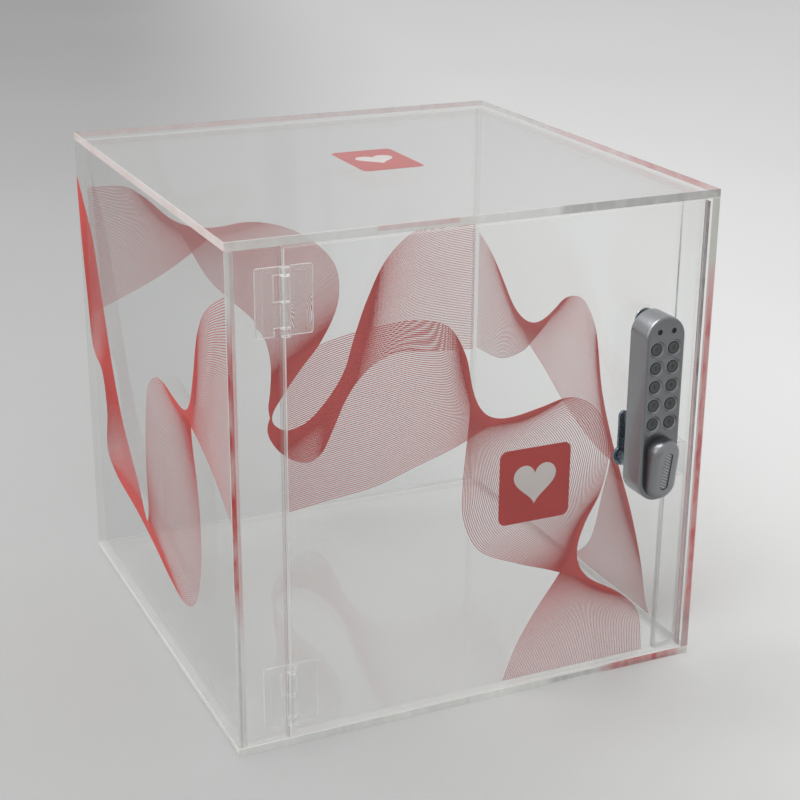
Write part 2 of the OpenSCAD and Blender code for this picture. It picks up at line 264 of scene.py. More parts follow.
def mirror_share(tree):
    """How much a clear sheet mirrors: 4% face on, and more aslant, on either side of a face."""
    aslant = add_node(tree, "ShaderNodeLayerWeight", {"Blend": 0.5}).outputs["Facing"]
    fifth = maths(tree, "POWER", aslant, 5.0)
    share = add_node(tree, "ShaderNodeMath", {0: fifth, 1: 0.80, 2: 0.035}, operation="MULTIPLY_ADD")
    return share.outputs["Value"]


def see_through(tree, share, clear, solid):
    """A surface that is partly clear, and casts no shadow where it is clear."""
    shadow = add_node(tree, "ShaderNodeLightPath").outputs["Is Shadow Ray"]
    empty = add_node(tree, "ShaderNodeBsdfTransparent", {"Color": (0.995, 0.995, 0.995, 1)}).outputs["BSDF"]
    seen = add_node(tree, "ShaderNodeMixShader", {0: share, 1: clear, 2: solid}).outputs["Shader"]
    return add_node(tree, "ShaderNodeMixShader", {0: shadow, 1: seen, 2: empty}).outputs["Shader"]


def passing(tree, colour):
    """A clear surface whose light goes nearly straight on."""
    return add_node(tree, "ShaderNodeBsdfPrincipled", {
        "Base Color": (*colour, 1), "Roughness": 0.0, "IOR": 1.01, "Specular IOR Level": 0.0,
        "Transmission Weight": 1.0}).outputs["BSDF"]


def clear_acrylic(name, milk_and_painted_light=0.0, small=False):
    """Face of a cast sheet: clear, with a sharp mirror and faint wiping marks. The milky share is a white
    layer of painted light that brightens what is seen through the sheet; small is for the pieces that lie
    behind many others."""
    made = new_material(name)
    tree = made.node_tree
    tint = tuple(settings().sheets.clear_tint)
    clear = passing(tree, tint) if small else add_node(
        tree, "ShaderNodeBsdfTransparent", {"Color": (*tint, 1)}).outputs["BSDF"]
    # painted light: a white diffuse layer that brightens what lies behind the sheet
    if milk_and_painted_light:
        painted_light_layer = add_node(tree, "ShaderNodeBsdfDiffuse", {"Color": (0.94, 0.94, 0.93, 1)}).outputs["BSDF"]
        clear = add_node(tree, "ShaderNodeMixShader", {0: milk_and_painted_light, 1: clear, 2: painted_light_layer}).outputs["Shader"]
    wiping = noise(tree, 7.0, 4.0, (1, 1, 2.5))
    mirror = add_node(tree, "ShaderNodeBsdfAnisotropic",
                      {"Color": (0.80, 0.80, 0.80, 1),
                       "Roughness": ramp(tree, wiping, 0.4, 0.75, 0.01, 0.05)}).outputs["BSDF"]
    return finish_material(made, see_through(tree, mirror_share(tree), clear, mirror))


def sheet_edge(name, base, cover, spans=()):
    """Edge of a sheet in painted light. base is its painted tone and cover how much of it shows; each span is
    a painted highlight, shade or print reflection, its strength and one or more (axis, low, high, softness)
    limits in metres, where the edge shows it."""
    made = new_material(name)
    tree = made.node_tree
    place = add_node(tree, "ShaderNodeTexCoord").outputs["Object"]
    split = add_node(tree, "ShaderNodeSeparateXYZ", {"Vector": place})
    cloud = noise(tree, 30.0, 2.0)
    streak = noise(tree, 150.0, 2.0, (1, 0.4, 0.35), (0, math.radians(40), 0))
    colour = blend_colours(tree, ramp(tree, cloud, 0.35, 0.7), base, shade(base, 0.86))
    opacity = ramp(tree, streak, 0.2, 0.8, cover * 0.85, cover)
    for tone, strength, *limits in spans:
        share = ramp(tree, streak, 0.35, 0.65, strength, 0.72 * strength)
        for axis, low, high, soft in limits:
            run = split.outputs[axis]
            rise = ramp(tree, run, low - soft, low + soft, smooth=True)
            share = maths(tree, "MULTIPLY", share, rise)
            fall = ramp(tree, run, high - soft, high + soft, 1, 0, smooth=True)
            share = maths(tree, "MULTIPLY", share, fall)
        colour = blend_colours(tree, share, colour, tone)
        opacity = maths(tree, "MAXIMUM", opacity, share)
    solid = add_node(tree, "ShaderNodeBsdfPrincipled", {
        "Base Color": colour, "Roughness": 0.25, "IOR": 1.49,
        "Normal": bump(tree, streak, 0.00003, 0.2)}).outputs["BSDF"]
    clear = add_node(tree, "ShaderNodeBsdfTransparent", {"Color": (0.985, 0.985, 0.98, 1)}).outputs["BSDF"]
    return finish_material(made, see_through(tree, opacity, clear, solid))


def moulded_clear():
    """Clear moulded hinge plastic: a painted highlight where it curves away, a little milky, with flow marks.
    """
    made = new_material("moulded_clear")
    tree = made.node_tree
    flow = noise(tree, 160.0, 3.0, (1, 1, 0.2))
    clear = passing(tree, (0.965, 0.97, 0.965))
    milk_and_painted_light = add_node(tree, "ShaderNodeBsdfPrincipled", {
        "Base Color": (0.84, 0.84, 0.83, 1), "IOR": 1.46,
        "Roughness": ramp(tree, flow, 0.35, 0.7, 0.05, 0.16),
        "Normal": bump(tree, flow, 0.0002, 0.3)}).outputs["BSDF"]
    aslant = add_node(tree, "ShaderNodeLayerWeight", {"Blend": 0.35}).outputs["Facing"]
    cloudy = ramp(tree, flow, 0.3, 0.7, 0.06, 0.16)
    # painted highlight: the milky share grows where the surface turns away from view
    rim = ramp(tree, aslant, 0.25, 0.85, 0.0, 0.62, smooth=True)
    share = maths(tree, "ADD", cloudy, rim)
    return finish_material(made, see_through(tree, share, clear, milk_and_painted_light))


def satin_metal(name, start, end, start_painted_light, end_painted_light):
    """Satin grey plating over a zinc casting, with painted light: its tone changes between two depths."""
    made = new_material(name)
    tree = made.node_tree
    grain = noise(tree, 2600.0, 2.0)
    cloud = noise(tree, 90.0, 3.0)
    place = add_node(tree, "ShaderNodeTexCoord").outputs["Object"]
    depth = add_node(tree, "ShaderNodeSeparateXYZ", {"Vector": place}).outputs["Y"]
    metal = settings().lock.metal
    # painted light: the tone follows depth, to paint lit and shaded faces
    share = ramp(tree, depth, start, end)
    tone = blend_colours(tree, share, shade(metal, start_painted_light), shade(metal, end_painted_light))
    surface = add_node(tree, "ShaderNodeBsdfPrincipled", {
        "Base Color": blend_colours(tree, ramp(tree, cloud, 0.3, 0.7, 0.0, 0.12), tone, metal),
        "Metallic": 1.0, "Roughness": ramp(tree, cloud, 0.3, 0.7, 0.27, 0.34),
        "Normal": bump(tree, grain, 0.00002, 0.25)}).outputs["BSDF"]
    return finish_material(made, surface)


def plated_steel(name="plated_steel", tone=1.0):
    """Bright zinc plate with a faint blue passivation; a lower tone makes it duller and bluer."""
    made = new_material(name)
    tree = made.node_tree
    cloud = noise(tree, 260.0, 3.0)
    turned = noise(tree, 1800.0, 2.0, (1, 0.15, 1))
    bright = settings().lock.steel
    steel = (bright[0] * tone ** 1.15, bright[1] * tone, bright[2] * tone ** 0.92)
    tinged = (steel[0] * 0.80, steel[1] * 0.88, steel[2])
    surface = add_node(tree, "ShaderNodeBsdfPrincipled", {
        "Base Color": blend_colours(tree, ramp(tree, cloud, 0.35, 0.65), steel, tinged),
        "Metallic": 0.85, "Roughness": ramp(tree, turned, 0.3, 0.7, 0.20, 0.32),
        "Normal": bump(tree, turned, 0.00002, 0.2)}).outputs["BSDF"]
    return finish_material(made, surface)


def plain_plastic(name, colour, roughness, grain_scale=1800.0, spread=0.10, coat=0.0):
    """Moulded plastic or rubber: one colour with a fine grain and slight cloudiness."""
    made = new_material(name)
    tree = made.node_tree
    grain = noise(tree, grain_scale, 2.0)
    cloud = noise(tree, 120.0, 3.0)
    surface = add_node(tree, "ShaderNodeBsdfPrincipled", {
        "Base Color": blend_colours(tree, cloud, shade(colour, 1 - spread), shade(colour, 1 + spread)),
        "Roughness": ramp(tree, cloud, 0.3, 0.7, roughness * 0.9, roughness * 1.1),
        "Coat Weight": coat, "Coat Roughness": 0.08,
        "Normal": bump(tree, grain, 0.00003, 0.3)}).outputs["BSDF"]
    return finish_material(made, surface)


def printed_ink(name, colour):
    """Screen printed ink: matt, with the faint unevenness of the mesh."""
    made = new_material(name)
    tree = made.node_tree
    mesh = noise(tree, 900.0, 2.0)
    cloud = noise(tree, 30.0, 2.0)
    surface = add_node(tree, "ShaderNodeBsdfPrincipled", {
        "Base Color": blend_colours(tree, cloud, shade(colour, 0.90), shade(colour, 1.10)),
        "Roughness": ramp(tree, mesh, 0.3, 0.7, 0.42, 0.55),
        "Normal": bump(tree, mesh, 0.00001, 0.2)}).outputs["BSDF"]
    return finish_material(made, surface)


def circuit_green():
    """Solder mask with lighter tracks under it."""
    made = new_material("circuit_green")
    tree = made.node_tree
    tracks = add_node(tree, "ShaderNodeTexBrick", {
        "Vector": object_place(tree, (1, 1, 1), (math.radians(90), 0, 0)), "Scale": 260.0,
        "Color1": (0.02, 0.16, 0.06, 1), "Color2": (0.015, 0.12, 0.05, 1),
        "Mortar": (0.05, 0.30, 0.12, 1), "Mortar Size": 0.03}).outputs["Color"]
    surface = add_node(tree, "ShaderNodeBsdfPrincipled", {
        "Base Color": tracks, "Roughness": 0.35}).outputs["BSDF"]
    return finish_material(made, surface)


def cell_sleeve():
    """Plain two-colour sleeve of a dry cell."""
    made = new_material("cell_sleeve")
    tree = made.node_tree
    place = add_node(tree, "ShaderNodeTexCoord").outputs["Object"]
    height = add_node(tree, "ShaderNodeSeparateXYZ", {"Vector": place}).outputs["Z"]
    low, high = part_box("batteries")
    band = ramp(tree, height, low.z + 0.7 * (high.z - low.z), low.z + 0.71 * (high.z - low.z))
    grain = noise(tree, 900.0, 2.0)
    surface = add_node(tree, "ShaderNodeBsdfPrincipled", {
        "Base Color": blend_colours(tree, band, (0.05, 0.05, 0.055), (0.55, 0.30, 0.07)),
        "Metallic": 0.4, "Roughness": ramp(tree, grain, 0.3, 0.7, 0.28, 0.36)}).outputs["BSDF"]
    return finish_material(made, surface)


def copper_winding():
    """Turns of lacquered wire."""
    made = new_material("copper_winding")
    tree = made.node_tree
    turns = add_node(tree, "ShaderNodeTexWave", {
        "Vector": object_place(tree), "Scale": 900.0, "Distortion": 0.6},
        bands_direction="Z").outputs["Fac"]
    surface = add_node(tree, "ShaderNodeBsdfPrincipled", {
        "Base Color": blend_colours(tree, turns, (0.30, 0.13, 0.06), (0.62, 0.32, 0.17)),
        "Metallic": 0.9, "Roughness": 0.3, "Normal": bump(tree, turns, 0.0001, 0.6)}).outputs["BSDF"]
    return finish_material(made, surface)


# ---------------------------------------------------------------- mesh helpers


def face_outward(bm):
    """Turns every closed shell of a mesh outward."""
    bmesh.ops.recalc_face_normals(bm, faces=bm.faces)
    left = set(bm.faces)
    while left:
        shell = [left.pop()]
        for face in shell:
            for edge in face.edges:
                for other in edge.link_faces:
                    if other in left:
                        left.remove(other)
                        shell.append(other)
        volume = sum(f.calc_area() * f.normal.dot(f.calc_center_median()) for f in shell)
        if volume < 0:
            bmesh.ops.reverse_faces(bm, faces=shell)


def place_piece(bm, name, body, materials, replaces=(), sharp=math.radians(35)):
    """Writes a bmesh to a finished object that rides on a body of the frame."""
    bmesh.ops.remove_doubles(bm, verts=bm.verts, dist=1e-6)
    face_outward(bm)
    for face in bm.faces:
        face.smooth = True
    for edge in bm.edges:
        edge.smooth = len(edge.link_faces) == 2 and edge.calc_face_angle(0.0) < sharp
    mesh = bpy.data.meshes.new(name)
    bm.to_mesh(mesh)
    bm.free()
    return link_piece(mesh, name, body, materials, replaces)


def link_piece(mesh, name, body, materials, replaces=()):
    for material in materials:
        mesh.materials.append(material)
    piece = bpy.data.objects.new(name, mesh)
    bpy.context.scene.collection.objects.link(piece)
    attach(piece, body)
    if replaces:
        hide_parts(*replaces)
    return piece


def flat_pill(bm, width, low, up, at, count=64):
    """A face in the XZ plane with round ends: width across, from low to up about at."""
    step = 2 * math.pi / count
    radius = width / 2 / math.cos(step / 2)
    turn = Matrix.Rotation(math.radians(90), 4, "X") @ Matrix.Rotation(step / 2, 4, "Z")
    made = bmesh.ops.create_circle(bm, cap_ends=True, segments=count, radius=radius, matrix=turn)
    for vert in made["verts"]:
        vert.co.z += up - width / 2 if vert.co.z > 0 else width / 2 - low
    bmesh.ops.translate(bm, verts=made["verts"], vec=at)
    return next(face for face in made["verts"][0].link_faces)


def pull(bm, face, forward):
    """Extrudes a face towards the front and gives the new front face."""
    made = bmesh.ops.extrude_face_region(bm, geom=[face])
    verts = [g for g in made["geom"] if isinstance(g, bmesh.types.BMVert)]
    bmesh.ops.translate(bm, verts=verts, vec=(0, -forward, 0))
    return next(g for g in made["geom"] if isinstance(g, bmesh.types.BMFace))


def step_in(bm, face, inward, forward):
    """Insets a front face and moves it forward, or back if forward is negative."""
    bmesh.ops.recalc_face_normals(bm, faces=bm.faces)
    bmesh.ops.inset_region(bm, faces=[face], thickness=inward, use_even_offset=True)
    bmesh.ops.translate(bm, verts=face.verts, vec=(0, -forward, 0))
    return face


def round_off(bm, face, inward, forward, steps):
    """Rounds the rim of a front face through a quarter of an ellipse."""
    before = (0.0, 0.0)
    for step in range(1, steps + 1):
        angle = math.pi / 2 * step / steps
        now = (inward * (1 - math.cos(angle)), forward * math.sin(angle))
        face = step_in(bm, face, now[0] - before[0], now[1] - before[1])
        before = now
    return face


def lathe(bm, profile, at, count=48):
    """Spins (radius, forward) points about a front-to-back axis through at."""
    verts = [bm.verts.new(at + Vector((radius, -forward, 0))) for radius, forward in profile]
    edges = [bm.edges.new(pair) for pair in zip(verts, verts[1:])]
    bmesh.ops.spin(bm, geom=verts + edges, cent=at, axis=(0, 1, 0), angle=2 * math.pi, steps=count,
                   use_merge=True)
    bmesh.ops.remove_doubles(bm, verts=bm.verts, dist=1e-6)


def solid_copy(node, width, segments=2, angle=math.radians(30)):
    """A merged copy of a CAD node's mesh with its sharp edges rounded."""
    bm = bmesh.new()
    bm.from_mesh(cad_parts[node].data)
    bmesh.ops.remove_doubles(bm, verts=bm.verts, dist=2e-6)
    bmesh.ops.dissolve_limit(bm, angle_limit=math.radians(1), verts=bm.verts, edges=bm.edges)
    edges = [e for e in bm.edges if len(e.link_faces) == 2 and e.calc_face_angle(0.0) > angle]
    bmesh.ops.bevel(bm, geom=edges, offset=width, offset_type="OFFSET", segments=segments, profile=0.5,
                    affect="EDGES", material=-1, clamp_overlap=True)
    return bm


def cut_from(bm, cutter):
    """Takes the cutter's solid out of bm and gives the result as a new bmesh."""
    objects = []
    for part, name in ((bm, "uncut"), (cutter, "cutter")):
        face_outward(part)
        mesh = bpy.data.meshes.new(name)
        part.to_mesh(mesh)
        part.free()
        objects.append(bpy.data.objects.new(name, mesh))
        bpy.context.scene.collection.objects.link(objects[-1])
    cut = objects[0].modifiers.new("cut", "BOOLEAN")
    cut.operation = "DIFFERENCE"
    cut.solver = "EXACT"
    cut.object = objects[1]
    shown = objects[0].evaluated_get(bpy.context.evaluated_depsgraph_get())
    result = bmesh.new()
    result.from_mesh(shown.to_mesh())
    shown.to_mesh_clear()
    for made in objects:
        mesh = made.data
        bpy.data.objects.remove(made)
        bpy.data.meshes.remove(mesh)
    if not result.faces:
        raise RuntimeError("the cut left nothing")
    return result


def centre(node):
    low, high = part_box(node)
    return (low + high) / 2


# ---------------------------------------------------------------- acrylic sheets

CABINET_SHEETS = ("top_panel", "bottom_panel", "left_panel", "right_panel", "back_panel",
                  "hinge_strip", "stop_strip", "strike_pad")


def painted_edge_looks():
    """Painted light on the edges of the sheets, by sheet and by the side that they face: pale is a painted
    highlight, grey painted shade, dark a painted reflection of the dark room, and mauve, pink and red painted
    reflections of the print inside the sheets.
    """
    look = settings().sheets
    pale, grey, dark = tuple(look.edge_painted_highlight), tuple(look.edge_painted_shade), tuple(look.edge_dark)
    mauve, pink, red = tuple(look.edge_painted_mauve_reflection), tuple(look.edge_painted_pink_reflection), tuple(look.edge_painted_red_reflection)
    rim = (2, 0.3556, 0.3610, 0.0003)
    return {
        "top_panel": {
            "-y": (pale, 0.85, (grey, 0.92, (0, 0.055, 0.190, 0.004)),
                   (pink, 0.60, (0, -0.078, -0.020, 0.002), (2, 0.3565, 0.3610, 0.0003))),
            "-x": (pale, 0.80, (pink, 0.30, (1, -0.19, 0.19, 0.01))),
            "+x": (pale, 0.0, (mauve, 0.72, rim), (pink, 0.85, rim, (1, -0.19, 0.06, 0.05)),
                   (red, 0.72, rim, (1, -0.19, -0.07, 0.04))),
            "+y": (pale, 0.0, (pink, 0.75, rim))},
        "bottom_panel": {
            "-y": (pale, 0.85, (grey, 0.75, (0, 0.060, 0.125, 0.006), (2, 0.0012, 0.0050, 0.0004)),
                   (red, 0.95, (0, 0.108, 0.171, 0.012), (2, 0.0004, 0.0066, 0.0004)),
                   (dark, 0.35, (0, 0.120, 0.171, 0.012), (2, 0.0004, 0.0035, 0.0006))),
            "-x": (pale, 0.70, (grey, 0.5, (2, 0.0, 0.0025, 0.0004)))},
        "left_panel": {
            "-y": (pale, 0.80, (mauve, 0.55, (0, -0.1768, -0.170, 0.0005), (2, 0.295, 0.36, 0.02)),
                   (pink, 0.85, (0, -0.1772, -0.170, 0.0003), (2, 0.10, 0.31, 0.03)),
                   (red, 1.0, (0, -0.1797, -0.1764, 0.0003), (2, 0.115, 0.305, 0.02)),
                   (mauve, 0.60, (0, -0.1785, -0.1765, 0.0003), (2, 0.0, 0.115, 0.02))),
            "+z": (pale, 0.10, (pink, 0.85, (0, -0.1790, -0.1745, 0.0004)),
                   (red, 0.75, (0, -0.1785, -0.1760, 0.0003), (1, -0.16, 0.15, 0.01)))},
        "right_panel": {
            "-y": ((0.50, 0.50, 0.45), 0.85, (pink, 0.90, (2, 0.0, 0.305, 0.010)),
                   (red, 0.95, (2, 0.030, 0.290, 0.025), (0, 0.1752, 0.1792, 0.0004)),
                   (dark, 0.45, (2, 0.0, 0.040, 0.010))),
            "+z": (pale, 0.0, (pink, 0.45, (0, 0.1745, 0.1775, 0.0004)))},
        "hinge_strip": {
            "+x": (mauve, 0.35, (dark, 0.75, (1, -0.1802, -0.1791, 0.0002)))},
        "door_panel": {
            "-x": (pale, 0.45, (pale, 0.95, (1, -0.1802, -0.1786, 0.0002))),
            "+x": (shade(mauve, 0.75), 0.85,
                   (dark, 1.0, (1, -0.1802, -0.1762, 0.0003), (2, 0.16, 0.40, 0.06)),
                   (pink, 0.60, (1, -0.1768, -0.1738, 0.0003), (2, 0.0, 0.25, 0.05)))},
        "stop_strip": {
            "-x": (pale, 0.0, (dark, 0.85, (1, -0.1738, -0.1719, 0.0002), (2, 0.19, 0.36, 0.06)),
                   (grey, 0.60, (1, -0.1738, -0.1719, 0.0002)))},
        "strike_pad": {
            "-x": (pale, 0.06, (grey, 0.55, (1, -0.1680, -0.1670, 0.0002))),
            "+z": (pale, 0.10, (grey, 0.55, (1, -0.1680, -0.1668, 0.0002))),
            "-z": (pale, 0.10, (grey, 0.40, (1, -0.1680, -0.1668, 0.0002)))},
    }


def acrylic_sheet(node, body, looks):
    """A flat sheet the size of its node, with polished corners and its own look on each edge."""
    look = settings().sheets
    low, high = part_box(node)
    gap = Vector((look.glue_line,) * 3)
    low, high = low + gap, high - gap
    size = high - low
    bm = bmesh.new()
    place = Matrix.Translation((low + high) / 2) @ Matrix.Diagonal((*size, 1))
    bmesh.ops.create_cube(bm, size=1.0, matrix=place)
    bmesh.ops.bevel(bm, geom=bm.edges[:], offset=look.edge_bevel, offset_type="OFFSET", segments=2,
                    profile=0.5, affect="EDGES", material=-1)
    thin = min(range(3), key=lambda axis: size[axis])
    # painted light: the bottom sheet's faces carry the brightening white layer
    face_name = {"bottom_panel": "dusty", "stop_strip": "small", "strike_pad": "small"}.get(node, "clear")
    materials = [bpy.data.materials[face_name + "_acrylic_face"], bpy.data.materials["clear_acrylic_edge"]]
    index = {}
    for side, (base, cover, *spans) in looks.get(node, {}).items():
        index[side] = len(materials)
        materials.append(sheet_edge(f"{node}_edge_{len(materials)}", base, cover, spans))
    bm.normal_update()
    for face in bm.faces:
        if abs(face.normal[thin]) > 0.99:
            continue
        across = max((axis for axis in range(3) if axis != thin), key=lambda axis: abs(face.normal[axis]))
        side = "-+"[face.normal[across] > 0] + "xyz"[across]
        face.material_index = index.get(side, 1)
    return place_piece(bm, node.replace("_panel", "") + "_sheet", body, materials, [node],
                       sharp=math.radians(20))


# ---------------------------------------------------------------- printed waves


def path_through(points, per_step=5):
    """A smooth path that passes through all the points."""
    ends = [points[0] * 2 - points[1], *points, points[-1] * 2 - points[-2]]
    path = []
    for before, start, end, after in zip(ends, ends[1:], ends[2:], ends[3:]):
        for step in range(per_step):
            t = step / per_step
            path.append(0.5 * (2 * start + (end - before) * t
                               + (2 * before - 5 * start + 4 * end - after) * t * t
                               + (3 * start - before - 3 * end + after) * t ** 3))
    path.append(points[-1])
    return path


def wave_lines(name, one_side, other_side, to_sheet, limits, body):
    """Fine lines that pass from one side curve to the other. The sides are millimetre points on the sheet,
    to_sheet turns them into place, and limits are (point, outward direction) cuts at the sheet's edges."""
    look = settings().inks
    curve = bpy.data.curves.new(name, "CURVE")
    curve.dimensions = "3D"
    curve.bevel_depth = look.line_width / 2
    curve.bevel_resolution = 0
    curve.use_fill_caps = True
    for line in range(look.line_count):
        share = line / (look.line_count - 1)
        points = [Vector(a).lerp(Vector(b), share) * MM for a, b in zip(one_side, other_side)]
        path = path_through(points)
        spline = curve.splines.new("POLY")
        spline.points.add(len(path) - 1)
        for point, at in zip(spline.points, path):
            point.co = (at.x, at.y, 0, 1)
    drawn = bpy.data.objects.new(name, curve)
    bpy.context.scene.collection.objects.link(drawn)
    shown = drawn.evaluated_get(bpy.context.evaluated_depsgraph_get())
    bm = bmesh.new()
    bm.from_mesh(shown.to_mesh())
    shown.to_mesh_clear()
    bpy.data.objects.remove(drawn)
    bpy.data.curves.remove(curve)
    flatten = Matrix.Diagonal((1, 1, look.ink_height / look.line_width, 1))
    bmesh.ops.transform(bm, matrix=to_sheet @ flatten, verts=bm.verts)
    for at, outward in limits:
        bmesh.ops.bisect_plane(bm, geom=bm.verts[:] + bm.edges[:] + bm.faces[:], plane_co=at,
                               plane_no=outward, clear_outer=True)
        open_edges = [e for e in bm.edges if e.is_boundary]
        bmesh.ops.holes_fill(bm, edges=open_edges, sides=8)
    return place_piece(bm, name, body, [bpy.data.materials["red_ink"]], sharp=math.pi)


def on_front(y):
    """Turns a drawing's X and Y into X and Z at depth y."""
    return Matrix.Translation((0, y, 0)) @ Matrix.Rotation(math.radians(90), 4, "X")


def on_side(x):
    """Turns a drawing's X and Y into Y and Z at x."""
    return Matrix.Translation((x, 0, 0)) @ Matrix.Rotation(math.radians(90), 4, "Z") @ Matrix.Rotation(
        math.radians(90), 4, "X")


def sheet_limits(node, axes):
    """Cuts just inside a sheet's own outline, on the two axes that it spreads along."""
    low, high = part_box(node)
    inside = 0.0006
    cuts = []
    for axis in axes:
        outward = Vector([1.0 if i == axis else 0.0 for i in range(3)])
        cuts.append((high - outward * inside, outward))
        cuts.append((low + outward * inside, -outward))
    return cuts


LEFT_WAVE = (
    [(-190, 330), (-146, 309), (-123, 287), (-112, 260), (-102, 232), (-99, 209), (-107, 179), (-112, 148),
     (-111, 117), (-100, 85), (-80, 67), (-52, 65), (-16, 73), (24, 84), (69, 92), (117, 100), (132, 117),
     (124, 154), (137, 180), (162, 193), (168, 234), (175, 274), (179, 312)],
    [(-184, 170), (-148, 193), (-124, 204), (-104, 211), (-85, 217), (-60, 220), (-37, 223), (-18, 220),
     (2, 206), (12, 177), (17, 140), (16, 108), (20, 92), (28, 96), (40, 112), (62, 134), (82, 156),
     (104, 196), (124, 246), (140, 283), (160, 306), (181, 328)])

BACK_WAVE = (
    [(-176, 213), (-143, 226), (-113, 240), (-89, 254), (-69, 269), (-47, 275), (-20, 271), (7, 260),
     (29, 241), (42, 217), (38, 186), (22, 158), (3, 136), (-13, 115), (-24, 97), (-26, 83), (-17, 66),
     (1, 52), (18, 52), (30, 65), (40, 90), (52, 110), (66, 127), (86, 139), (110, 141), (140, 138),
     (178, 135)],
    [(-176, 316), (-147, 315), (-131, 307), (-115, 292), (-101, 276), (-89, 254), (-74, 228), (-53, 206),
     (-36, 188), (-26, 168), (-22, 146), (-23, 123), (-25, 105), (-20, 90), (-6, 83), (13, 90),
     (33, 110), (47, 132), (54, 154), (60, 172), (69, 195), (85, 226), (109, 248), (138, 257),
     (178, 260)])

RIGHT_WAVE = (
    [(182, 243), (158, 231), (138, 216), (118, 198), (99, 183), (82, 168), (53, 154), (26, 139),
     (-8, 124), (-38, 115), (-60, 111), (-76, 102), (-93, 78), (-109, 46), (-119, 16), (-131, -1)],
    [(182, 134), (134, 138), (97, 155), (80, 168), (55, 192), (32, 218), (13, 229), (-7, 230),
     (-24, 215), (-31, 196), (-38, 169), (-49, 143), (-58, 119), (-49, 82), (-33, 31), (-2, 3)])

DOOR_WAVE = (
    [(-142, 275), (-109, 286), (-77, 291), (-49, 292), (-25, 285), (-12, 265), (-7, 243), (-7, 220),
     (-9, 196), (-11, 169), (-10, 143), (3, 117), (32, 102), (60, 91), (87, 79), (108, 68), (127, 54),
     (138, 37), (142, 4)],
    [(-142, 172), (-110, 176), (-77, 180), (-48, 189), (-25, 196), (-9, 202), (4, 208), (22, 212),
     (47, 217), (72, 221), (93, 208), (104, 180), (100, 148), (88, 124), (80, 104), (66, 83), (49, 59),
     (35, 35), (23, 4)])


def heart_face(bm, width, at, count=40):
    """A plain heart, as one face in the XZ plane, made by bending a circle."""
    made = bmesh.ops.create_circle(bm, cap_ends=True, segments=count, radius=1.0,
                                   matrix=Matrix.Rotation(math.radians(90), 4, "X"))
    for vert in made["verts"]:
        angle = math.atan2(vert.co.x, vert.co.z)
        across = 16 * math.sin(angle) ** 3
        height = (13 * math.cos(angle) - 5 * math.cos(2 * angle) - 2 * math.cos(3 * angle)
                  - math.cos(4 * angle))
        vert.co = Vector((across, 0, height + 2.5)) * (width / 32)
    bmesh.ops.translate(bm, verts=made["verts"], vec=at)
    return made["verts"][0].link_faces[0]


def emblem(name, body, width, height, to_place):
    """A red panel with round corners and a white heart on both its sides."""
    look = settings().inks
    film = look.ink_height * 2.2
    bm = bmesh.new()
    bmesh.ops.create_cube(bm, size=1.0, matrix=Matrix.Diagonal((width, film, height, 1)))
    corners = [e for e in bm.edges if abs((e.verts[0].co - e.verts[1].co).y) > film / 2]
    bmesh.ops.bevel(bm, geom=corners, offset=width * 0.1, offset_type="OFFSET", segments=8, profile=0.5,
                    affect="EDGES", material=-1)
    for side in (1, -1):
        face = heart_face(bm, width * 0.60, Vector((0, side * film * 0.5, 0)))
        made = bmesh.ops.extrude_face_region(bm, geom=[face])
        verts = [g for g in made["geom"] if isinstance(g, bmesh.types.BMVert)]
        bmesh.ops.translate(bm, verts=verts, vec=(0, side * film * 0.4, 0))
        for vert in verts:
            for heart in vert.link_faces:
                heart.material_index = 1
    bmesh.ops.transform(bm, matrix=to_place, verts=bm.verts)
    inks = [bpy.data.materials["solid_red_ink"], bpy.data.materials["white_ink"]]
    return place_piece(bm, name, body, inks)


# ---------------------------------------------------------------- lock pieces


